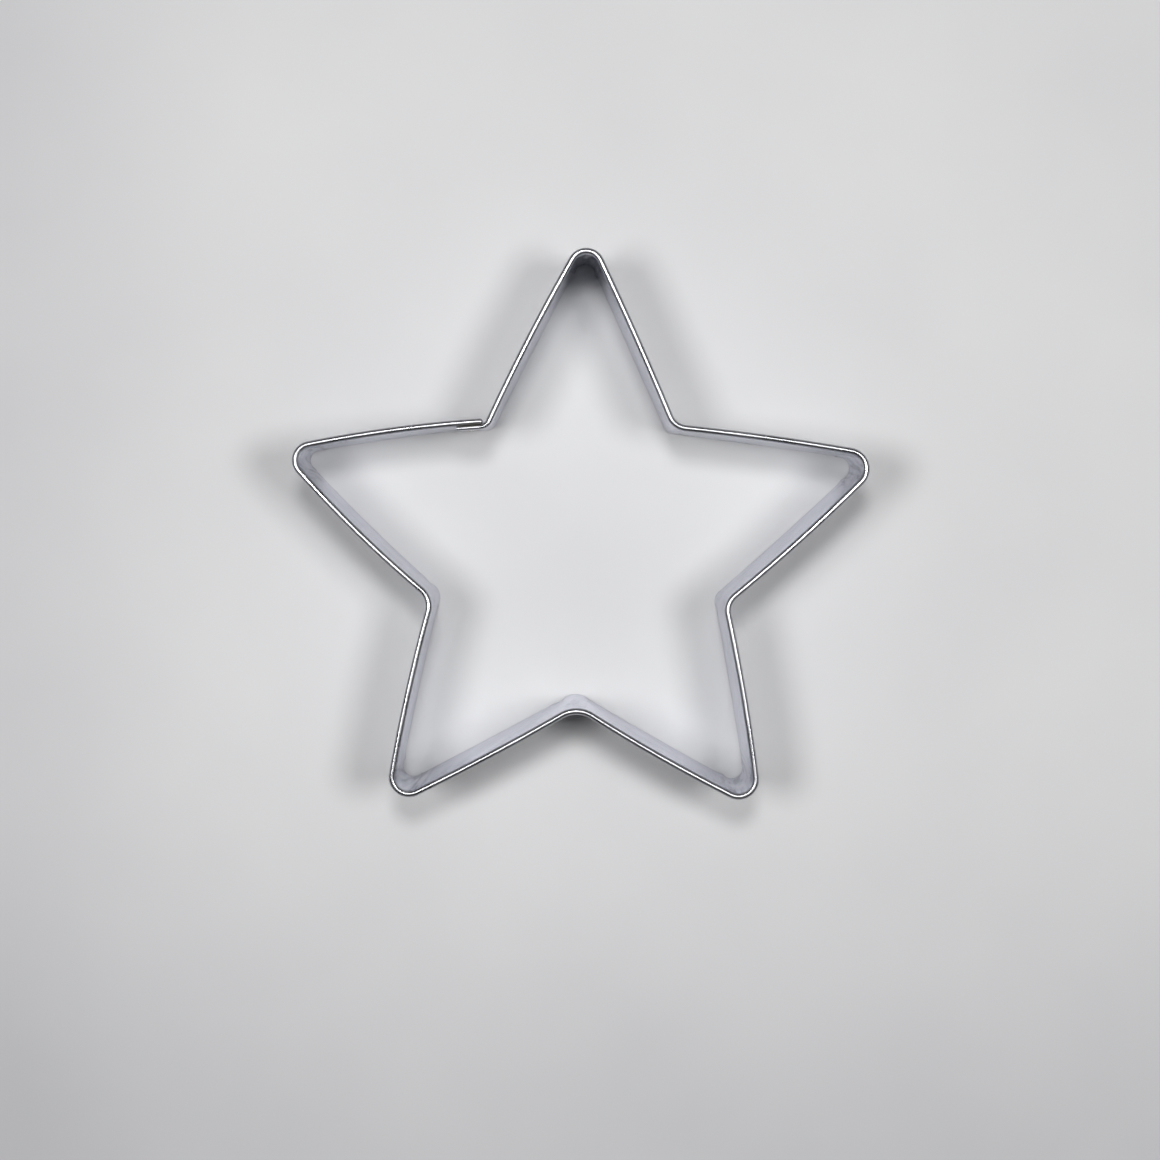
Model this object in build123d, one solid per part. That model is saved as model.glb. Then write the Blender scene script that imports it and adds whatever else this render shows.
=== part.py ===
from build123d import *
from collections import namedtuple
from math import acos, atan2, cos, degrees, hypot, radians, sin
import os

# A star-shaped cookie cutter: one strip of thin sheet metal, hemmed outward along
# its upper edge, bent round a five-pointed star and closed by a lap with two spot
# welds in one notch. Millimetres, +Z up, cutting edge down on z = 0. The inner face
# of the strip is the outline of the cookie, and every other face is offset from it.

# Strip
height = 22.0
sheet = 0.3
fold_gap = 0.4
hem_leg = 2.0
hem_gap = 0.03

# Star outline, measured on the inner face
star_radius = 48.05
notch_radius = 23.4
tip_bend = 2.1
notch_bend = 3.6
seam_bend = 2.1

# Lap at the seam
lap_length = 3.6
lap_gap = 0.04
pressed_fold_gap = 0.04
end_clearance = 0.1
contact_height = 12.0
hem_relief = 0.6

# Spot welds
weld_diameter = 2.0
dimple_depth = 0.04
weld_fit = 0.01
lower_weld_height = 3.5
upper_weld_height = 9.0
overrun = 1.0

# Steps of the bend in which the fold is pressed flat
pressing_steps = 8

# Corners, clockwise from the seam. Each row holds the corner's kind, its angle in
# degrees, its reach as a share of the star's or the notches' radius, its bend as a
# share of the nominal bend, and how far the flank after it bows out, as a share of
# that flank's length. The tips and notches differ a little, as bent by machine.
tip = "tip"
notch = "notch"
corner_shares = (
    (notch, 122.5, 1.050, 1.00, 0.012),
    (tip, 88.7, 0.998, 0.95, 0.008),
    (notch, 52.9, 1.004, 0.95, 0.011),
    (tip, 17.2, 1.004, 1.10, 0.015),
    (notch, -19.5, 0.995, 1.00, 0.014),
    (tip, -55.1, 0.989, 1.03, 0.016),
    (notch, -91.1, 0.996, 1.40, 0.012),
    (tip, -127.2, 1.007, 1.03, 0.015),
    (notch, -162.5, 1.000, 1.08, 0.022),
    (tip, -198.8, 0.991, 0.95, 0.019),
    (notch, -234.6, 1.030, 1.00, 0.000),
)

# A stretch of the outline: an arc, with the side of it on which its centre lies
Arc = namedtuple("Arc", "centre radius start end outward")


def polar(radius, angle):
    """Point at a radius and an angle in degrees about the star's middle."""
    return Vector(radius * cos(radians(angle)), radius * sin(radians(angle)))


def corner_point(row):
    """Sharp corner of the outline, before it is bent to a radius."""
    kind, angle, reach_share = row[:3]
    return polar(reach_share * (star_radius if kind == tip else notch_radius), angle)


def flank_circle(start, end, bow_share):
    """Centre and radius of the shallow arc between two sharp corners."""
    chord = end - start
    rise = bow_share * chord.length
    radius = (chord.length**2 / 4 + rise**2) / (2 * rise)
    outward = Vector(-chord.Y, chord.X).normalized()
    return (start + end) / 2 + outward * (rise - radius), radius


def bend_centre(first, second, radius, side, corner):
    """Centre of a bend that touches two flank circles beside a sharp corner."""
    (centre_1, radius_1), (centre_2, radius_2) = first, second
    reach_1 = radius_1 - side * radius
    reach_2 = radius_2 - side * radius
    between = centre_2 - centre_1
    along = (reach_1**2 - reach_2**2 + between.length**2) / (2 * between.length)
    across = (reach_1**2 - along**2) ** 0.5
    direction = between.normalized()
    foot = centre_1 + direction * along
    aside = Vector(-direction.Y, direction.X) * across
    return min(foot + aside, foot - aside, key=lambda point: (point - corner).length)


def touch_point(circle, bend):
    """Point where a bend touches a flank circle."""
    centre, radius = circle
    return centre + (bend - centre).normalized() * radius


def outward_at(arc, point):
    """Unit vector out of the star at a point of an arc."""
    return (point - arc.centre).normalized() * arc.outward


def back_along(arc, distance):
    """Point of an arc at a distance back from its end."""
    spin = degrees(distance / arc.radius) * arc.outward
    return arc.centre + (arc.end - arc.centre).rotate(Axis.Z, spin)


def sweep_angle(arc):
    """Angle of an arc in degrees."""
    return (arc.start - arc.centre).get_angle(arc.end - arc.centre)


def strip_section(gap_in_fold, wall_step):
    """Section of the strip: x outward from the inner face, y up.

    The sheet rises to the rim, folds outward over a gap and comes down as a short
    leg that closes on the wall. The fold is round outside and creased inside. Below
    the hem the wall may step outward.
    """
    fold = sheet + gap_in_fold / 2
    inner_fold = gap_in_fold / 2
    fold_height = height - fold
    lean = degrees(
        acos((hem_gap - inner_fold) / hypot(inner_fold, hem_leg)) - atan2(hem_leg, inner_fold)
    )
    spoke = Vector(cos(radians(lean)), -sin(radians(lean)))
    down_leg = Vector(-sin(radians(lean)), -cos(radians(lean))) * hem_leg
    middle = Vector(fold, fold_height)
    step_top = fold_height - hem_leg - hem_relief

    inner_foot = Vector(wall_step, 0)
    inner_contact = Vector(wall_step, contact_height)
    inner_step = Vector(0, step_top)
    inner_rim = Vector(0, fold_height)
    leg_top = middle + spoke * fold
    leg_end = leg_top + down_leg
    leg_back_end = leg_end - spoke * sheet
    leg_back_top = middle + spoke * inner_fold
    outer_rim = Vector(sheet, fold_height)
    across = Vector(sheet, 0)
    outer_arc = ThreePointArc(inner_rim, middle + Vector(0, fold), leg_top)
    crease = middle + Vector(0, inner_fold)
    return make_face(
        [
            Line(inner_foot, inner_contact),
            Line(inner_contact, inner_step),
            Line(inner_step, inner_rim),
            outer_arc,
            Line(leg_top, leg_end),
            Line(leg_end, leg_back_end),
            Line(leg_back_end, leg_back_top),
            Line(leg_back_top, crease),
            Line(crease, outer_rim),
            Line(outer_rim, inner_step + across),
            Line(inner_step + across, inner_contact + across),
            Line(inner_contact + across, inner_foot + across),
            Line(inner_foot + across, inner_foot),
        ]
    )


def section_at(section, point, outward):
    """A section stood upright at a point of the outline, facing outward."""
    upright = Plane(origin=point, x_dir=outward, z_dir=outward.cross(Vector(0, 0, 1)))
    return upright * section


def bend_strip(section, arc):
    """The strip along one arc of the outline."""
    profile = section_at(section, arc.start, outward_at(arc, arc.start))
    axis = Axis(arc.centre, (0, 0, -arc.outward))
    return revolve(profile, axis, sweep_angle(arc))


def outline():
    """Arcs of the outline: the lapped end, the seam's bend, then round to the outer end."""
    points = [corner_point(row) for row in corner_shares]
    flanks = [
        flank_circle(points[i], points[i + 1], corner_shares[i][4])
        for i in range(len(points) - 1)
    ]
    # The inner end runs parallel to the last flank, one pressed hem inside it
    last_centre, last_radius = flanks[-1]
    pressed_bead = 2 * sheet + pressed_fold_gap
    inner_end = (last_centre, last_radius - pressed_bead - lap_gap)

    circles = [inner_end] + flanks
    bends = []
    for i, row in enumerate(corner_shares[:-1]):
        kind = row[0]
        nominal = seam_bend if i == 0 else (tip_bend if kind == tip else notch_bend)
        radius = nominal * row[3]
        side = 1 if kind == tip else -1
        centre = bend_centre(circles[i], circles[i + 1], radius, side, points[i])
        start = touch_point(circles[i], centre)
        end = touch_point(circles[i + 1], centre)
        bends.append(Arc(centre, radius, start, end, side))

    # The lap is the stretch where the two ends run side by side
    seam_start = bends[0].start
    tongue = Arc(last_centre, inner_end[1], seam_start, seam_start, 1)
    tongue = tongue._replace(start=back_along(tongue, lap_length + end_clearance))
    outer_direction = (back_along(tongue, end_clearance) - last_centre).normalized()
    outer_end = last_centre + outer_direction * last_radius

    arcs = []
    for i, (centre, radius) in enumerate(flanks):
        start = bends[i].end
        end = bends[i + 1].start if i + 1 < len(bends) else outer_end
        arcs.append(Arc(centre, radius, start, end, 1))
        if i + 1 < len(bends):
            arcs.append(bends[i + 1])
    return tongue, bends[0], arcs


def seam_bend_solid(seam):
    """The bend beside the lap, in which the round fold is pressed flat step by step."""
    sections = []
    for step in range(pressing_steps + 1):
        share = step / pressing_steps
        point = seam.centre + (seam.start - seam.centre).rotate(
            Axis.Z, share * sweep_angle(seam)
        )
        gap = pressed_fold_gap + share * (fold_gap - pressed_fold_gap)
        wall_step = (1 - share) * tongue_step()
        sections.append(section_at(strip_section(gap, wall_step), point, outward_at(seam, point)))
    return loft(sections, ruled=True)


def tongue_step():
    """How far the inner end's wall steps outward to meet the outer end below the hem."""
    return sheet + pressed_fold_gap


def weld_plane(tongue, weld_height):
    """Plane on the lap's inner face at a weld, with its normal out of the star."""
    middle = back_along(tongue, end_clearance + lap_length / 2)
    outward = outward_at(tongue, middle)
    origin = middle + outward * tongue_step() + Vector(0, 0, weld_height)
    return Plane(origin=origin, z_dir=outward)


def weld_solids(tongue, weld_height):
    """A weld's nugget, and the round hole through both layers that holds it."""
    plane = weld_plane(tongue, weld_height)
    stack = 2 * sheet + lap_gap
    nugget = Cylinder(
        weld_diameter / 2 - weld_fit,
        stack - 2 * dimple_depth,
        align=(Align.CENTER, Align.CENTER, Align.MIN),
    )
    hole = Cylinder(
        weld_diameter / 2,
        stack + 2 * overrun,
        align=(Align.CENTER, Align.CENTER, Align.MIN),
    )
    return plane * (Pos(0, 0, dimple_depth) * nugget), plane * (Pos(0, 0, -overrun) * hole)


def build_cutter():
    """All pieces, with the middle of the star's box on the origin."""
    tongue, seam, arcs = outline()
    round_section = strip_section(fold_gap, 0)
    pressed_section = strip_section(pressed_fold_gap, tongue_step())
    stretches = [bend_strip(round_section, arc) for arc in arcs]
    stretches.append(seam_bend_solid(seam))
    stretches.append(bend_strip(pressed_section, tongue))
    strip = stretches[0].fuse(*stretches[1:])

    pieces = {}
    weld_heights = {"spot_weld_lower": lower_weld_height, "spot_weld_upper": upper_weld_height}
    for name, weld_height in weld_heights.items():
        nugget, hole = weld_solids(tongue, weld_height)
        strip = strip.cut(hole)
        pieces[name] = nugget
    pieces["cutter_strip"] = strip

    middle = strip.bounding_box().center()
    to_origin = Pos(-middle.X, -middle.Y, 0)
    length = sum(arc.radius * radians(sweep_angle(arc)) for arc in arcs)
    print(f"outline {length:.1f} mm, section {round_section.area:.3f} mm2")
    return {name: to_origin * piece for name, piece in pieces.items()}


os.makedirs("parts", exist_ok=True)
for name, piece in build_cutter().items():
    size = piece.bounding_box().size
    print(f"{name}: {size.X:.2f} x {size.Y:.2f} x {size.Z:.2f} mm, {piece.volume:.2f} mm3")
    export_step(piece, f"parts/{name}.step")
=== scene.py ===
from collections import namedtuple
from math import acos, atan2, cos, hypot, pi, radians, sin
import bmesh
import bpy
from mathutils import Matrix, Vector


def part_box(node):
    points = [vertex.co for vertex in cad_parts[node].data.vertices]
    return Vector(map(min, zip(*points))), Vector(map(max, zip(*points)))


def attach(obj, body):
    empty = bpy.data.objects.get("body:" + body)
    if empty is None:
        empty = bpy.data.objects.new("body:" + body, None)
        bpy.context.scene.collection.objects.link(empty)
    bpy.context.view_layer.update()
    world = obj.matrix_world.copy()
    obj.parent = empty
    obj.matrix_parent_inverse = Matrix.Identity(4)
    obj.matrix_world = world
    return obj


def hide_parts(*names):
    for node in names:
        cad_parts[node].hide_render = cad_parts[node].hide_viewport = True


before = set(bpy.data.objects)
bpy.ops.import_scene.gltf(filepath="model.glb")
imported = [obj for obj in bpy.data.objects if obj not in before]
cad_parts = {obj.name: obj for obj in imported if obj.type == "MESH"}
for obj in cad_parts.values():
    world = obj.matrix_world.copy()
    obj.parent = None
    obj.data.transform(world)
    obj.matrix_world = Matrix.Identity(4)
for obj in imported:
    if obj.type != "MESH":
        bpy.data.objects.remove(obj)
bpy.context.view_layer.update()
mm = 0.001
up = Vector((0, 0, 1))


# Small helpers

def srgb(hexCode):
    # screen colour, as six hex digits, to the linear colour that shaders take
    channels = [int(hexCode[i:i + 2], 16) / 255 for i in (0, 2, 4)]
    linear = [c / 12.92 if c <= 0.04045 else ((c + 0.055) / 1.055) ** 2.4 for c in channels]
    return (*linear, 1)


def newMaterial(name):
    material = bpy.data.materials.new(name)
    material.use_nodes = True
    nodes = material.node_tree.nodes
    nodes.clear()
    output = nodes.new("ShaderNodeOutputMaterial")
    shader = nodes.new("ShaderNodeBsdfPrincipled")
    material.node_tree.links.new(shader.outputs["BSDF"], output.inputs["Surface"])
    return material, shader


def addNode(tree, kind, inputs=None, output=0, **settings):
    # one node with its settings, and its inputs linked to other nodes or given plain values
    node = tree.nodes.new("ShaderNode" + kind)
    for key, value in settings.items():
        setattr(node, key, value)
    for key, value in (inputs or {}).items():
        if isinstance(value, bpy.types.NodeSocket):
            tree.links.new(value, node.inputs[key])
        else:
            node.inputs[key].default_value = value
    return node.outputs[output]


def finishObject(name, bm, material):
    mesh = bpy.data.meshes.new(name)
    bm.to_mesh(mesh)
    bm.free()
    piece = bpy.data.objects.new(name, mesh)
    bpy.context.scene.collection.objects.link(piece)
    mesh.materials.append(material)
    return piece


# The outline of the star, as the strip is bent round it. Angles in degrees.

star = {
    "starRadius": 48.05 * mm,
    "notchRadius": 23.4 * mm,
    "tipBend": 2.1 * mm,
    "notchBend": 3.6 * mm,
    "seamBend": 2.1 * mm,
    # kind, angle, share of the radius, share of the bend, share that the next flank bows
    "cornerShares": (
        ("notch", 122.5, 1.050, 1.00, 0.012),
        ("tip", 88.7, 0.998, 0.95, 0.008),
        ("notch", 52.9, 1.004, 0.95, 0.011),
        ("tip", 17.2, 1.004, 1.10, 0.015),
        ("notch", -19.5, 0.995, 1.00, 0.014),
        ("tip", -55.1, 0.989, 1.03, 0.016),
        ("notch", -91.1, 0.996, 1.40, 0.012),
        ("tip", -127.2, 1.007, 1.03, 0.015),
        ("notch", -162.5, 1.000, 1.08, 0.022),
        ("tip", -198.8, 0.991, 0.95, 0.019),
        ("notch", -234.6, 1.030, 1.00, 0.000),
    ),
}

# the height and the fold are a hair under the solid's, so that the strip stays in its box
strip = {
    "height": 21.995 * mm,
    "sheet": 0.3 * mm,
    "foldGap": 0.39 * mm,
    "hemLeg": 2.0 * mm,
    "hemGap": 0.03 * mm,
    "edgeRounding": 0.05 * mm,
    "foldSegments": 20,
    "wallSegments": 12,
    # rings along a flank, which turns by less than flankTurn degrees, and along a bend
    "flankSteps": 20,
    "flankTurn": 20,
    "degreesPerStep": 5,
    "leastSteps": 6,
    # steps along each arc when the outline's box is measured
    "boxSteps": 40,
    # the cutting edge bows a little less than the rim does
    "straighterFoot": 0.17 * mm,
    # below the free height bends are tighter towards the foot, which has no stiff rim: the share
    # by which the radius is smaller there
    "freeHeight": 19.4 * mm,
    "tighterTipShare": 0.19,
    "tighterNotchShare": 0.38,
    # the bending tool creases the tips, the flanks this far from them, and the notches a little, and
    # painted reflection streaks lie there too
    "markReach": 3.0 * mm,
    "notchMark": 0.3,
    "sharpAngle": 35,
}

lap = {
    "length": 3.6 * mm,
    "gap": 0.04 * mm,
    "pressedGap": 0.04 * mm,
    "endClearance": 0.1 * mm,
    "contactHeight": 12.0 * mm,
    "hemRelief": 0.6 * mm,
    "steps": 10,
    # the outer end is nipped round by the shears, and reaches a little past the inner strip's bend
    "overhang": 0.45 * mm,
    "noseLength": 0.6 * mm,
    "noseSteps": 8,
    # the flank's own rings stop this many lengths of the nose before the end
    "noseSpace": 1.2,
    "noseWidthShare": 0.30,
    "noseTopShare": 0.6,
    # the crevice between the beads fades out in the first third of the seam's bend
    "creviceFade": 3,
}

Arc = namedtuple("Arc", "centre radius start end outward")


def flankCircle(start, end, bowShare):
    chord = end - start
    rise = bowShare * chord.length
    radius = (chord.length ** 2 / 4 + rise ** 2) / (2 * rise)
    outward = Vector((-chord.y, chord.x, 0)).normalized()
    return (start + end) / 2 + outward * (rise - radius), radius


def bendCentre(first, second, radius, side, corner):
    (centreA, radiusA), (centreB, radiusB) = first, second
    reachA = radiusA - side * radius
    reachB = radiusB - side * radius
    between = centreB - centreA
    along = (reachA ** 2 - reachB ** 2 + between.length ** 2) / (2 * between.length)
    aside = (reachA ** 2 - along ** 2) ** 0.5
    direction = between.normalized()
    foot = centreA + direction * along
    across = Vector((-direction.y, direction.x, 0)) * aside
    return min(foot + across, foot - across, key=lambda point: (point - corner).length)


def turnAbout(centre, point, angle):
    return centre + Matrix.Rotation(angle, 3, "Z") @ (point - centre)


def arcAngle(arc):
    return (arc.start - arc.centre).angle(arc.end - arc.centre)


def starOutline():
    # arcs of the strip's inner face, from the lapped inner end clockwise to the outer end
    rows = star["cornerShares"]
    corners = []
    for row in rows:
        kind, angle, reachShare = row[:3]
        reach = reachShare * (star["starRadius"] if kind == "tip" else star["notchRadius"])
        corners.append(Vector((reach * cos(radians(angle)), reach * sin(radians(angle)), 0)))
    flanks = [flankCircle(corners[i], corners[i + 1], rows[i][4]) for i in range(len(rows) - 1)]
    lastCentre, lastRadius = flanks[-1]
    pressedBead = 2 * strip["sheet"] + lap["pressedGap"]
    circles = [(lastCentre, lastRadius - pressedBead - lap["gap"])] + flanks
    bends = []
    for i, row in enumerate(rows[:-1]):
        nominal = star["tipBend"] if row[0] == "tip" else star["notchBend"]
        radius = (star["seamBend"] if i == 0 else nominal) * row[3]
        side = 1 if row[0] == "tip" else -1
        centre = bendCentre(circles[i], circles[i + 1], radius, side, corners[i])
        ends = [c + (centre - c).normalized() * r for c, r in (circles[i], circles[i + 1])]
        bends.append(Arc(centre, radius, ends[0], ends[1], side))
    seamStart = bends[0].start
    tongueRadius = circles[0][1]
    reach = lap["length"] + lap["endClearance"]
    tongueEnd = turnAbout(lastCentre, seamStart, reach / tongueRadius)
    arcs = [Arc(lastCentre, tongueRadius, tongueEnd, seamStart, 1), bends[0]]
    past = lap["overhang"] - lap["endClearance"]
    outerDirection = turnAbout(lastCentre, seamStart, -past / tongueRadius)
    outerEnd = lastCentre + (outerDirection - lastCentre).normalized() * lastRadius
    for i, (centre, radius) in enumerate(flanks):
        last = i + 1 == len(flanks)
        arcs.append(Arc(centre, radius, bends[i].end, outerEnd if last else bends[i + 1].start, 1))
        if not last:
            arcs.append(bends[i + 1])
    return arcs


def centredOutline():
    # the outline moved as the frame's strip is, with the middle of its box on the origin
    arcs = starOutline()
    bead = 2 * strip["sheet"] + strip["foldGap"]
    rim = []
    for arc in arcs[2:]:
        for step in range(strip["boxSteps"] + 1):
            turn = arcAngle(arc) * step / strip["boxSteps"]
            point = turnAbout(arc.centre, arc.start, -arc.outward * turn)
            rim.append(point + (point - arc.centre).normalized() * arc.outward * bead)
    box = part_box("cutter_strip")
    lows = [min(p[axis] for p in rim) for axis in (0, 1)]
    highs = [max(p[axis] for p in rim) for axis in (0, 1)]
    middle = [(box[0][axis] + box[1][axis]) / 2 for axis in (0, 1)]
    shift = Vector([middle[k] - (lows[k] + highs[k]) / 2 for k in (0, 1)] + [0])
    return [Arc(a.centre + shift, a.radius, a.start + shift, a.end + shift, a.outward) for a in arcs]


# The strip's section

def stripSection(foldGap, wallStep):
    # closed loop of (out from the inner face, height), clockwise from the inner foot
    sheet, height, leg = strip["sheet"], strip["height"], strip["hemLeg"]
    rounding = strip["edgeRounding"]
    segments = strip["wallSegments"]
    fold = sheet + foldGap / 2
    inner = foldGap / 2
    foldHeight = height - fold
    lean = acos((strip["hemGap"] - inner) / hypot(inner, leg)) - atan2(leg, inner)
    stepTop = foldHeight - leg - lap["hemRelief"]
    contact = lap["contactHeight"]

    def wallOffset(level):
        share = min(max((stepTop - level) / (stepTop - contact), 0), 1)
        return wallStep * share

    levels = [rounding + (foldHeight - rounding) * k / segments for k in range(segments + 1)]
    points = [(wallStep + rounding, 0)] + [(wallOffset(level), level) for level in levels]
    for k in range(1, strip["foldSegments"] + 1):
        angle = pi - (pi + lean) * k / strip["foldSegments"]
        points.append((fold + fold * cos(angle), foldHeight + fold * sin(angle)))
    tangent = (-sin(lean), -cos(lean))
    spoke = (cos(lean), -sin(lean))
    for distance, depth in ((leg - rounding, 0), (leg, rounding), (leg, sheet - rounding),
                            (leg - rounding, sheet)):
        radius = fold - depth
        points.append((fold + radius * spoke[0] + distance * tangent[0],
                       foldHeight + radius * spoke[1] + distance * tangent[1]))
    innerSegments = strip["foldSegments"] // 2
    for k in range(innerSegments + 1):
        angle = -lean + (pi + lean) * k / innerSegments
        points.append((fold + inner * cos(angle), foldHeight + inner * sin(angle)))
    for level in reversed(levels[:-1]):
        points.append((wallOffset(level) + sheet, level))
    points.append((wallStep + sheet - rounding, 0))
    return points


def placeRing(ring, index, section, point, outward):
    for vert in ring:
        out, level = section[vert[index]]
        vert.co = point + outward * out + up * level


def nosed(section, distance):
    # the fold drawn in to its middle, and down, towards its cut end, on a quarter ellipse
    away = min(distance / lap["noseLength"], 1)
    fullness = (1 - (1 - away) ** 2) ** 0.5
    width = lap["noseWidthShare"] + (1 - lap["noseWidthShare"]) * fullness
    top = lap["noseTopShare"] + (1 - lap["noseTopShare"]) * fullness
    fold = strip["sheet"] + strip["foldGap"] / 2
    foldHeight = strip["height"] - fold
    hemFoot = foldHeight - strip["hemLeg"] - lap["hemRelief"]
    points = []
    for out, level in section:
        if level > hemFoot:
            out = fold + (out - fold) * width
        if level > foldHeight:
            level = foldHeight + (level - foldHeight) * top
        points.append((out, level))
    return points


def ringShares(number, arc, last):
    # where rings stand along an arc, as shares of its angle
    angle = arcAngle(arc)
    if number == 0:
        steps = lap["steps"]
    elif arc.outward == 1 and angle < radians(strip["flankTurn"]):
        steps = strip["flankSteps"]
    else:
        steps = max(strip["leastSteps"], round(angle / radians(strip["degreesPerStep"])))
    shares = [step / steps for step in range(1, steps + 1)]
    if last:
        nose = lap["noseLength"] / (arc.radius * angle)
        shares = [share for share in shares if share < 1 - nose * lap["noseSpace"]]
        shares += [1 - nose * (1 - k / lap["noseSteps"]) for k in range(lap["noseSteps"] + 1)]
    return shares


def tighterBend(arc, share, tighter):
    # how far a bend of a smaller radius between the same flanks stands out from this one
    half = arcAngle(arc) / 2
    aside = abs(share - 0.5) * 2 * half
    middle = tighter / cos(half)
    inner = arc.radius - tighter
    flankReach = arc.radius / cos(half - aside)
    within = inner ** 2 - (middle * sin(aside)) ** 2
    if within < 0:
        return flankReach - arc.radius
    return min(flankReach, middle * cos(aside) + within ** 0.5) - arc.radius


def stripMarks(number, share, left, last, out, fold):
    # how much the bending tool creases a point, which also sets its painted reflection streaks, and how
    # far it is into the crevice of the lap, which has painted shade
    kind = number % 4  # 0 is a flank after a tip, 1 a notch, 2 a flank before a tip, 3 a tip
    reach = strip["markReach"]
    gone = left * share / (1 - share) if share < 1 else reach
    marks = (max(1 - gone / reach, 0), strip["notchMark"] * sin(pi * share),
             max(1 - left / reach, 0), 1.0)
    bend = marks[kind] if number else 0.0
    outerSide = min(max((out - fold) / fold, 0), 1)
    innerSide = min(max((fold - out) / fold, 0), 1)
    crevice = 0.0
    if number == 0:
        crevice = outerSide
    elif number == 1:
        crevice = outerSide * max(1 - lap["creviceFade"] * share, 0)
    elif last and left < lap["length"] + lap["overhang"]:
        crevice = innerSide
    return bend, crevice


def buildStrip(material):
    arcs = centredOutline()
    bm = bmesh.new()
    index = bm.verts.layers.int.new("sectionIndex")
    along = bm.verts.layers.float.new("along")
    bend = bm.verts.layers.float.new("bendShare")
    crevice = bm.verts.layers.float.new("creviceShare")
    roundSection = stripSection(strip["foldGap"], 0)
    tongueStep = strip["sheet"] + lap["pressedGap"]
    flatSection = stripSection(lap["pressedGap"], tongueStep)
    roundFold = strip["sheet"] + strip["foldGap"] / 2
    flatFold = strip["sheet"] + lap["pressedGap"] / 2

    # the section at the inner end, as a loop of edges
    start = arcs[0]
    outward = (start.start - start.centre).normalized()
    ring = []
    for k, (out, level) in enumerate(flatSection):
        vert = bm.verts.new(start.start + outward * out + up * level)
        vert[index] = k
        vert[crevice] = stripMarks(0, 0, 0, False, out, flatFold)[1]
        ring.append(vert)
    loop = [bm.edges.new((ring[k - 1], ring[k])) for k in range(len(ring))]
    firstLoop = list(loop)
    run = 0.0

    # bend the section round the star, one arc after another
    for number, arc in enumerate(arcs):
        angle = arcAngle(arc)
        length = arc.radius * angle
        last = number == len(arcs) - 1
        flank = number > 1 and number % 2 == 0
        before = 0.0
        for share in ringShares(number, arc, last):
            spun = bmesh.ops.spin(
                bm, geom=ring + loop, cent=arc.centre, axis=(0, 0, 1), dvec=(0, 0, 0),
                angle=-arc.outward * angle * (share - before), steps=1, use_merge=False,
                use_normal_flip=False, use_duplicate=False)
            ring = [g for g in spun["geom_last"] if isinstance(g, bmesh.types.BMVert)]
            loop = [g for g in spun["geom_last"] if isinstance(g, bmesh.types.BMEdge)]
            run += length * (share - before)
            before = share
            left = length * (1 - share)
            point = turnAbout(arc.centre, arc.start, -arc.outward * angle * share)
            outward = (point - arc.centre).normalized() * arc.outward
            section = roundSection
            fold = roundFold
            if number == 0:
                section = flatSection
                fold = flatFold
            elif number == 1:
                gap = lap["pressedGap"] + share * (strip["foldGap"] - lap["pressedGap"])
                section = stripSection(gap, (1 - share) * tongueStep)
                fold = flatFold + share * (roundFold - flatFold)
            elif last and left < lap["noseLength"]:
                section = nosed(roundSection, left)
            placeRing(ring, index, section, point, outward)
            for vert in ring:
                vert[along] = run
                vert[bend], vert[crevice] = stripMarks(
                    number, share, left, last, section[vert[index]][0], fold)
            if number > 1 and not flank:
                for vert in ring:
                    rise = max(1 - vert.co.z / strip["freeHeight"], 0)
                    tighter = strip["tighterTipShare" if arc.outward == 1 else "tighterNotchShare"]
                    reach = tighterBend(arc, share, tighter * arc.radius * rise)
                    vert.co += outward * arc.outward * reach
            if flank:
                # the last flank is held straight where it is welded
                free = length - lap["length"] - lap["overhang"] if last else length
                lean = strip["straighterFoot"] * sin(pi * min(length * share / free, 1))
                for vert in ring:
                    vert.co -= outward * lean * (1 - vert.co.z / strip["height"])
    for ends in (firstLoop, loop):
        bmesh.ops.contextual_create(bm, geom=ends)
    bmesh.ops.recalc_face_normals(bm, faces=bm.faces)

    # the map: metres along the strip, and metres across the sheet as it was before bending
    across = [0.0]
    for k in range(1, len(roundSection) + 1):
        a, b = roundSection[k - 1], roundSection[k % len(roundSection)]
        across.append(across[-1] + hypot(b[0] - a[0], b[1] - a[1]))
    unrolled = bm.loops.layers.uv.new("unrolled")
    for face in bm.faces:
        face.smooth = True
        indices = [corner.vert[index] for corner in face.loops]
        wraps = max(indices) - min(indices) > len(roundSection) / 2
        for corner in face.loops:
            k = corner.vert[index]
            if wraps and k < len(roundSection) / 2:
                k += len(roundSection)
            corner[unrolled].uv = (corner.vert[along], across[min(k, len(roundSection))])
    print("strip: %d faces, %.1f mm of outline" % (len(bm.faces), run / mm))
    piece = finishObject("hemmed_strip", bm, material)
    cutWeldHoles(piece, arcs[0].centre)
    piece.data.set_sharp_from_angle(angle=radians(strip["sharpAngle"]))
    return piece


# Spot welds: a nugget through both layers, dished on both sides by the electrodes

weld = {
    # each weld's node, and the piece that stands for it
    "nuggets": {"spot_weld_lower": "weld_nugget_lower", "spot_weld_upper": "weld_nugget_upper"},
    "holeRadius": 1.0 * mm,
    "holeReach": 1.5 * mm,
    "radius": 0.99 * mm,
    "thickness": 0.56 * mm,
    "segments": 48,
    "mergeDistance": 0.001 * mm,
    # rings of each face: share of the radius, and depth below the highest ring
    "rings": ((0.0, 0.045 * mm), (0.35, 0.045 * mm), (0.60, 0.030 * mm), (0.74, 0.006 * mm),
              (0.80, 0.0), (0.90, 0.004 * mm), (0.97, 0.020 * mm), (1.0, 0.060 * mm)),
}


def weldPlace(node, tongueCentre):
    # the nugget's middle and its axis, square to the lap
    low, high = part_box(node)
    middle = (low + high) / 2
    axis = middle - tongueCentre
    axis.z = 0
    turn = axis.to_track_quat("Z", "Y").to_matrix().to_4x4()
    return Matrix.Translation(middle) @ turn


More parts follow.
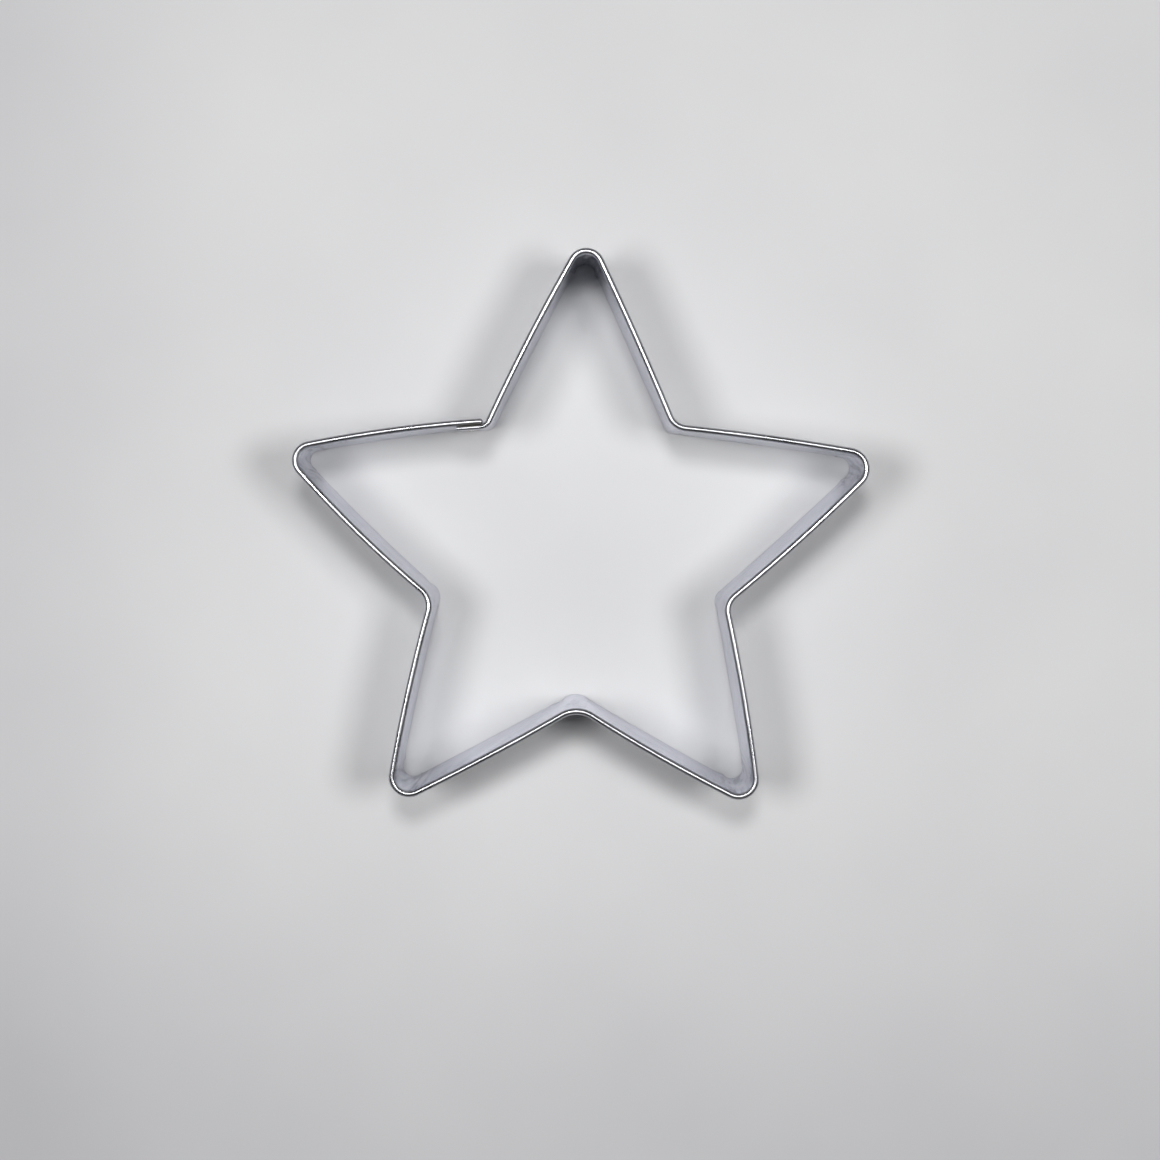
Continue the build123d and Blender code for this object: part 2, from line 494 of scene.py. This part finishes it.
def cutWeldHoles(piece, tongueCentre):
    bm = bmesh.new()
    for node in weld["nuggets"]:
        bmesh.ops.create_cone(
            bm, cap_ends=True, segments=weld["segments"], radius1=weld["holeRadius"],
            radius2=weld["holeRadius"], depth=2 * weld["holeReach"],
            matrix=weldPlace(node, tongueCentre))
    drill = finishObject("weld_drill", bm, piece.data.materials[0])
    hole = piece.modifiers.new("weld_holes", "BOOLEAN")
    hole.operation = "DIFFERENCE"
    hole.solver = "EXACT"
    hole.object = drill
    graph = bpy.context.evaluated_depsgraph_get()
    drilled = bpy.data.meshes.new_from_object(piece.evaluated_get(graph))
    piece.modifiers.clear()
    piece.data = drilled
    bpy.data.objects.remove(drill)


def buildNugget(name, node, tongueCentre, material):
    bm = bmesh.new()
    share = bm.verts.layers.float.new("radiusShare")
    half = weld["thickness"] / 2
    rim = [(radius, half - depth) for radius, depth in weld["rings"]]
    outline = rim + [(radius, -level) for radius, level in reversed(rim)]
    verts = []
    for radius, level in outline:
        vert = bm.verts.new((radius * weld["radius"], 0, level))
        vert[share] = radius
        verts.append(vert)
    edges = [bm.edges.new(pair) for pair in zip(verts, verts[1:])]
    bmesh.ops.spin(bm, geom=verts + edges, cent=(0, 0, 0), axis=(0, 0, 1), dvec=(0, 0, 0),
                   angle=2 * pi, steps=weld["segments"], use_merge=True,
                   use_normal_flip=False, use_duplicate=False)
    bmesh.ops.remove_doubles(bm, verts=bm.verts, dist=weld["mergeDistance"])
    bmesh.ops.recalc_face_normals(bm, faces=bm.faces)
    bmesh.ops.transform(bm, matrix=weldPlace(node, tongueCentre), verts=bm.verts)
    for face in bm.faces:
        face.smooth = True
    print("%s: %d faces" % (name, len(bm.faces)))
    return finishObject(name, bm, material)


# Cold-rolled stainless strip: bright, with a faint grain along the strip, hazier in patches.
# It is a cool grey, and a little darker at a glancing view, as steel is.

steelLook = {
    "colour": "e8eaf0",
    "hazeColour": "dcdfe6",
    "glancing": "eeeef4",
    "smooth": 0.14,
    "hazy": 0.23,
    # how much the haze and the grain dull the colour
    "hazePart": 0.6,
    "grainPart": 0.4,
    # noises in space: the size of a patch, and the detail in it
    "clouds": {"haze": (7.0 * mm, 3), "wave": (5.0 * mm, 1)},
    # noises on the strip's map: a patch's length along the strip and width across it, its turn
    # in degrees, and the detail in it. Rolling grain is finer than this on real sheet: it is
    # drawn as coarse as it needs to show. The creases are the bending tool's; the streaks are
    # painted light and dark reflections at the bends.
    "patterns": {
        "grain": (7.0 * mm, 0.14 * mm, 0, 2),
        "crease": (0.9 * mm, 9.0 * mm, 0, 2),
        "scratch": (8.0 * mm, 0.16 * mm, 24, 2),
        "reflectionStreaks": (0.9 * mm, 9.0 * mm, 3, 0.5),
    },
    # where a noise starts to show, and where it shows fully
    "limits": {"haze": (0.40, 0.68), "crease": (0.3, 0.7), "scratch": (0.70, 0.74)},
    # how high each stands, in millimetres
    "relief": {"grain": 0.00025, "wave": 0.022, "crease": 0.045, "scratch": -0.0012},
    "scratchRoughness": 0.12,
    # painted reflection streaks, dark and light, at the bends: a colour, and where the noise starts to
    # show it and shows it fully
    "paintedReflectionShades": (("777a84", 0.48, 0.38), ("ffffff", 0.53, 0.63)),
    "paintedReflectionShare": 0.62,
    # the outer side, past the rim on the map, gets less of the painted reflection streaks
    "innerFace": 21.5 * mm,
    "outerFace": 22.5 * mm,
    "outerPaintedReflection": 0.25,
    # the rim is rougher than the wall, from being folded over, and keeps little of its relief. A painted
    # shade darkens its colour to dim its highlight.
    "rimDepth": 0.6 * mm,
    "rimPaintedShade": "b2b3b7",
    "rimRoughness": 0.12,
    "rimBump": 0.05,
    # painted shade: the wall darkens towards its foot, where it reflects the floor in contact shadow
    "footHeight": 1.6 * mm,
    "paintedFootShade": "a9aab4",
    "paintedFootShadeShare": 0.8,
    # the crevice between the lapped beads: painted shade darkens it, and it is rougher
    "paintedCreviceShade": "8f8d88",
    "creviceRoughness": 0.25,
    # heat tint round the welds
    "tintReach": 1.0 * mm,
    "tintColour": "b39a78",
    "tintShare": 0.7,
}


def stainlessStrip():
    material, shader = newMaterial("stainless_strip_cold_rolled_bright")
    look = steelLook
    tree = material.node_tree
    uv = addNode(tree, "UVMap", uv_map="unrolled")
    place = addNode(tree, "TexCoord", output="Object")
    across = addNode(tree, "SeparateXYZ", {"Vector": uv}, "Y")
    level = addNode(tree, "SeparateXYZ", {"Vector": place}, "Z")
    bend = addNode(tree, "Attribute", output="Fac", attribute_name="bendShare")
    crevice = addNode(tree, "Attribute", output="Fac", attribute_name="creviceShare")

    # the noises, and where each shows
    marks = {}
    for name, (size, detail) in look["clouds"].items():
        marks[name] = addNode(tree, "TexNoise", {"Vector": place, "Scale": 1 / size, "Detail": detail})
    for name, (length, width, turn, detail) in look["patterns"].items():
        turned = addNode(tree, "Mapping", {"Vector": uv, "Rotation": (0, 0, radians(turn))})
        sized = addNode(tree, "Mapping", {"Vector": turned, "Scale": (1 / length, 1 / width, 1)})
        marks[name] = addNode(tree, "TexNoise", {"Vector": sized, "Scale": 1.0, "Detail": detail})
    for name, (low, high) in look["limits"].items():
        marks[name] = addNode(tree, "MapRange", {"Value": marks[name], "From Min": low, "From Max": high})
    marks["crease"] = addNode(tree, "Math", {0: marks["crease"], 1: bend}, operation="MULTIPLY")
    rim = addNode(tree, "MapRange", {"Value": level, "From Min": strip["height"] - 2 * look["rimDepth"],
                                     "From Max": strip["height"] - look["rimDepth"]})

    # the colour, laid on in layers: how much of each shows, and its shade
    dull = addNode(tree, "Math", {0: marks["haze"], 1: look["hazePart"]}, operation="MULTIPLY")
    dull = addNode(tree, "Math", {0: marks["grain"], 1: look["grainPart"], 2: dull},
                   operation="MULTIPLY_ADD")
    layers = [(dull, look["hazeColour"])]
    # painted light and dark reflection streaks at the bends, fewer on the outer side
    side = addNode(tree, "MapRange", {"Value": across, "From Min": look["innerFace"],
                                      "From Max": look["outerFace"], "To Min": 1.0,
                                      "To Max": look["outerPaintedReflection"]})
    paintedReflectionMask = addNode(tree, "Math", {0: bend, 1: side}, operation="MULTIPLY")
    for shade, low, high in look["paintedReflectionShades"]:
        reflectionStreaks = addNode(tree, "MapRange", {"Value": marks["reflectionStreaks"], "From Min": low, "From Max": high,
                                         "To Max": look["paintedReflectionShare"]})
        layers.append((addNode(tree, "Math", {0: paintedReflectionMask, 1: reflectionStreaks}, operation="MULTIPLY"), shade))
    # painted shade darkening the wall towards its foot
    foot = addNode(tree, "MapRange", {"Value": level, "From Max": look["footHeight"],
                                      "To Min": look["paintedFootShadeShare"], "To Max": 0.0})
    # the foot's and the rim's layers are painted shade; the rim's dims its highlight
    layers += [(foot, look["paintedFootShade"]), (rim, look["rimPaintedShade"])]
    for node in weld["nuggets"]:
        low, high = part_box(node)
        away = addNode(tree, "VectorMath", {0: place, 1: (low + high) / 2}, "Value",
                       operation="DISTANCE")
        tint = addNode(tree, "MapRange", {"Value": away, "From Min": weld["holeRadius"],
                                          "From Max": weld["holeRadius"] + look["tintReach"],
                                          "To Min": look["tintShare"], "To Max": 0.0})
        layers.append((tint, look["tintColour"]))
    # painted shade in the crevice of the lap
    layers.append((crevice, look["paintedCreviceShade"]))
    colour = srgb(look["colour"])
    for share, shade in layers:
        colour = addNode(tree, "Mix", {"Factor": share, "A": colour, "B": srgb(shade)}, "Result",
                         data_type="RGBA")
    tree.links.new(colour, shader.inputs["Base Color"])

    rough = addNode(tree, "MapRange", {"Value": marks["haze"], "To Min": look["smooth"],
                                       "To Max": look["hazy"]})
    for mark, amount in ((marks["scratch"], look["scratchRoughness"]),
                         (crevice, look["creviceRoughness"]), (rim, look["rimRoughness"])):
        rough = addNode(tree, "Math", {0: mark, 1: amount, 2: rough}, operation="MULTIPLY_ADD")
    tree.links.new(rough, shader.inputs["Roughness"])

    height = 0.0
    for name, depth in look["relief"].items():
        height = addNode(tree, "Math", {0: marks[name], 1: depth, 2: height}, operation="MULTIPLY_ADD")
    kept = addNode(tree, "MapRange", {"Value": rim, "To Min": 1.0, "To Max": look["rimBump"]})
    height = addNode(tree, "Math", {0: height, 1: kept}, operation="MULTIPLY")
    bump = addNode(tree, "Bump", {"Height": height, "Distance": mm})
    tree.links.new(bump, shader.inputs["Normal"])
    shader.inputs["Metallic"].default_value = 1.0
    shader.inputs["Specular Tint"].default_value = srgb(look["glancing"])
    return material


# Weld nugget: steel melted and frozen under copper electrodes, duller than the sheet,
# straw-coloured round the edge, with the fine turned rings of the electrode's face

nuggetLook = {
    "middle": "a9a7a4",
    "edge": "8a7358",
    "smooth": 0.34,
    "rough": 0.52,
    # where the straw colour starts and is full, as shares of the radius
    "edgeLimits": (0.45, 0.95),
    "ringCount": 9,
    "ringDepth": 0.004,
    # pits: their size and the detail in them, and how they shift the colour
    "pits": (0.25 * mm, 3),
    "pitDepth": 0.006,
    "pitLimits": (0.3, 0.7),
    "pitTint": 0.2,
}


def fusedSteel():
    material, shader = newMaterial("fused_steel_weld_nugget")
    look = nuggetLook
    tree = material.node_tree
    place = addNode(tree, "TexCoord", output="Object")
    radius = addNode(tree, "Attribute", output="Fac", attribute_name="radiusShare")
    size, detail = look["pits"]
    pits = addNode(tree, "TexNoise", {"Vector": place, "Scale": 1 / size, "Detail": detail})
    low, high = look["edgeLimits"]
    edge = addNode(tree, "MapRange", {"Value": radius, "From Min": low, "From Max": high})
    low, high = look["pitLimits"]
    tint = addNode(tree, "MapRange", {"Value": pits, "From Min": low, "From Max": high,
                                      "To Min": -look["pitTint"], "To Max": look["pitTint"]})
    heat = addNode(tree, "Math", {0: edge, 1: tint}, operation="ADD")
    colour = addNode(tree, "Mix", {"Factor": heat, "A": srgb(look["middle"]), "B": srgb(look["edge"])},
                     "Result", data_type="RGBA")
    rough = addNode(tree, "MapRange", {"Value": pits, "From Min": low, "From Max": high,
                                       "To Min": look["smooth"], "To Max": look["rough"]})
    turns = addNode(tree, "Math", {0: radius, 1: 2 * pi * look["ringCount"]}, operation="MULTIPLY")
    rings = addNode(tree, "Math", {0: turns}, operation="SINE")
    height = addNode(tree, "Math", {0: rings, 1: look["ringDepth"]}, operation="MULTIPLY")
    height = addNode(tree, "Math", {0: pits, 1: look["pitDepth"], 2: height},
                     operation="MULTIPLY_ADD")
    bump = addNode(tree, "Bump", {"Height": height, "Distance": mm})
    tree.links.new(colour, shader.inputs["Base Color"])
    tree.links.new(rough, shader.inputs["Roughness"])
    tree.links.new(bump, shader.inputs["Normal"])
    shader.inputs["Metallic"].default_value = 1.0
    return material


# Floor, lamps and camera

studio = {
    "floorSize": 3.0,
    "floorColour": "dfdfe0",
    "floorMottleAndPaintedShade": "cfcfd1",
    "floorRoughness": 0.9,
    # painted shade: the table darkens towards the near and the left edge of the picture, as the light
    # falls off there: the axis, where the darkening starts and where it is full, and how full
    "darkEdges": (("Y", -0.035, -0.115, 1.0), ("X", -0.050, -0.100, 0.7)),
    # cloudiness and grain: the size of a patch, and the detail in it
    "mottle": (0.045, 3),
    "mottleLimits": (0.3, 0.7),
    "mottleShare": 0.35,
    "grain": (0.0012, 2),
    "grainDepth": 0.00005,
    "grainStrength": 0.15,
    # far from the object the table glows, in place of the light of the rest of the room
    "farStart": 0.13,
    "farEnd": 0.75,
    "farGlow": 0.90,
    # distance of the softboxes from the middle of the table
    "softboxReach": 0.50,
    # the room's light, by the direction it comes from: the axis, where a change starts and ends
    # along it, and the strength on either side. The three are multiplied.
    "room": (
        ("Z", 0.42, 0.82, 0.003, 0.041),  # it rises from near the horizon to overhead
        ("Y", -0.12, 0.26, 0.05, 1.0),  # the photographer's side, to the south, is dark
        ("Z", 0.945, 0.985, 1.0, 0.15),  # the camera leaves a dark patch in the middle
    ),
    # a pale band along the horizon, seen behind the table from low down
    "skyline": 0.66,
    "skylineTop": 0.16,
    "skylineFoot": 0.09,
}

softboxes = {
    # name: tilt from overhead and bearing in degrees, width in metres, watts
    "left_softbox": (20, 177, 0.13, 0.88),
    "right_softbox": (20, 3, 0.13, 0.86),
    "north_softbox": (13, 94, 0.07, 0.73),
}


def buildFloor():
    # a matt laminate top: almost even, with a faint cloudiness, a fine grain, and painted shade towards
    # the near and the left edge
    bm = bmesh.new()
    bmesh.ops.create_grid(bm, x_segments=1, y_segments=1, size=studio["floorSize"] / 2)
    material, shader = newMaterial("matt_laminate_table_top")
    tree = material.node_tree
    place = addNode(tree, "TexCoord", output="Object")
    size, detail = studio["mottle"]
    mottle = addNode(tree, "TexNoise", {"Vector": place, "Scale": 1 / size, "Detail": detail})
    low, high = studio["mottleLimits"]
    shade = addNode(tree, "MapRange", {"Value": mottle, "From Min": low, "From Max": high,
                                       "To Max": studio["mottleShare"]})
    # painted shade towards the near and the left edge
    for axis, start, end, share in studio["darkEdges"]:
        along = addNode(tree, "SeparateXYZ", {"Vector": place}, axis)
        edge = addNode(tree, "MapRange", {"Value": along, "From Min": start, "From Max": end,
                                          "To Max": share}, interpolation_type="SMOOTHSTEP")
        shade = addNode(tree, "Math", {0: shade, 1: edge}, operation="ADD")
    colour = addNode(tree, "Mix", {"Factor": shade, "A": srgb(studio["floorColour"]),
                                   "B": srgb(studio["floorMottleAndPaintedShade"])}, "Result",
                     data_type="RGBA", clamp_factor=False)
    size, detail = studio["grain"]
    grain = addNode(tree, "TexNoise", {"Vector": place, "Scale": 1 / size, "Detail": detail})
    bump = addNode(tree, "Bump", {"Height": grain, "Strength": studio["grainStrength"],
                                  "Distance": studio["grainDepth"]})
    away = addNode(tree, "VectorMath", {0: place}, "Value", operation="LENGTH")
    glow = addNode(tree, "MapRange", {"Value": away, "From Min": studio["farStart"],
                                      "From Max": studio["farEnd"], "To Max": studio["farGlow"]})
    tree.links.new(colour, shader.inputs["Base Color"])
    tree.links.new(bump, shader.inputs["Normal"])
    tree.links.new(glow, shader.inputs["Emission Strength"])
    shader.inputs["Emission Color"].default_value = srgb(studio["floorColour"])
    shader.inputs["Roughness"].default_value = studio["floorRoughness"]
    floor = finishObject("floor", bm, material)


def addSoftbox(name, tilt, bearing, width, power):
    light = bpy.data.lights.new(name, "AREA")
    light.shape = "DISK"
    light.size = width
    light.energy = power
    lamp = bpy.data.objects.new(name, light)
    aside = sin(radians(tilt))
    direction = Vector((aside * cos(radians(bearing)), aside * sin(radians(bearing)), cos(radians(tilt))))
    lamp.location = direction * studio["softboxReach"]
    lamp.rotation_euler = (-direction).to_track_quat("-Z", "Y").to_euler()
    bpy.context.scene.collection.objects.link(lamp)


def buildLamps():
    for name, settings in softboxes.items():
        addSoftbox(name, *settings)
    world = bpy.data.worlds.new("studio_room")
    bpy.context.scene.world = world
    world.use_nodes = True
    tree = world.node_tree
    background = tree.nodes["Background"]
    direction = addNode(tree, "TexCoord", output="Generated")
    strength = 1.0
    for axis, start, end, before, after in studio["room"]:
        along = addNode(tree, "SeparateXYZ", {"Vector": direction}, axis)
        change = addNode(tree, "MapRange", {"Value": along, "From Min": start, "From Max": end,
                                            "To Min": before, "To Max": after},
                         interpolation_type="SMOOTHSTEP")
        strength = addNode(tree, "Math", {0: strength, 1: change}, operation="MULTIPLY")
    height = addNode(tree, "SeparateXYZ", {"Vector": direction}, "Z")
    skyline = addNode(tree, "MapRange", {"Value": height, "From Min": studio["skylineTop"],
                                         "From Max": studio["skylineFoot"],
                                         "To Max": studio["skyline"]})
    strength = addNode(tree, "Math", {0: strength, 1: skyline}, operation="MAXIMUM")
    tree.links.new(strength, background.inputs["Strength"])
    background.inputs["Color"].default_value = srgb("ffffff")


# The lens stands over the nadir, and its view leans from straight down by the tilts
camera = {
    "nadir": Vector((-3.41 * mm, 5.24 * mm, 0)),
    "height": 381.3 * mm,
    "tiltX": 0.00900,
    "tiltY": -0.03812,
    "lens": 72.45,
    "sensor": 36.0,
    "clipStart": 0.01,
    "clipEnd": 20,
}


def buildCamera():
    data = bpy.data.cameras.new("overhead_camera")
    data.sensor_fit = "HORIZONTAL"
    data.sensor_width = camera["sensor"]
    data.lens = camera["lens"]
    data.clip_start = camera["clipStart"]
    data.clip_end = camera["clipEnd"]
    view = bpy.data.objects.new("overhead_camera", data)
    view.location = camera["nadir"] + up * camera["height"]
    forward = Vector((camera["tiltX"], camera["tiltY"], -1)).normalized()
    view.rotation_mode = "QUATERNION"
    view.rotation_quaternion = (-up).rotation_difference(forward)
    bpy.context.scene.collection.objects.link(view)
    bpy.context.scene.camera = view


bpy.context.scene.view_settings.view_transform = "Standard"
buildCamera()
buildLamps()
buildFloor()
print("camera, lamps and floor placed")
steel = stainlessStrip()
hemmedStrip = buildStrip(steel)
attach(hemmedStrip, "root")
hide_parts("cutter_strip")
fused = fusedSteel()
tongueCentre = centredOutline()[0].centre
for node, name in weld["nuggets"].items():
    nugget = buildNugget(name, node, tongueCentre, fused)
    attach(nugget, "root")
    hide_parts(node)
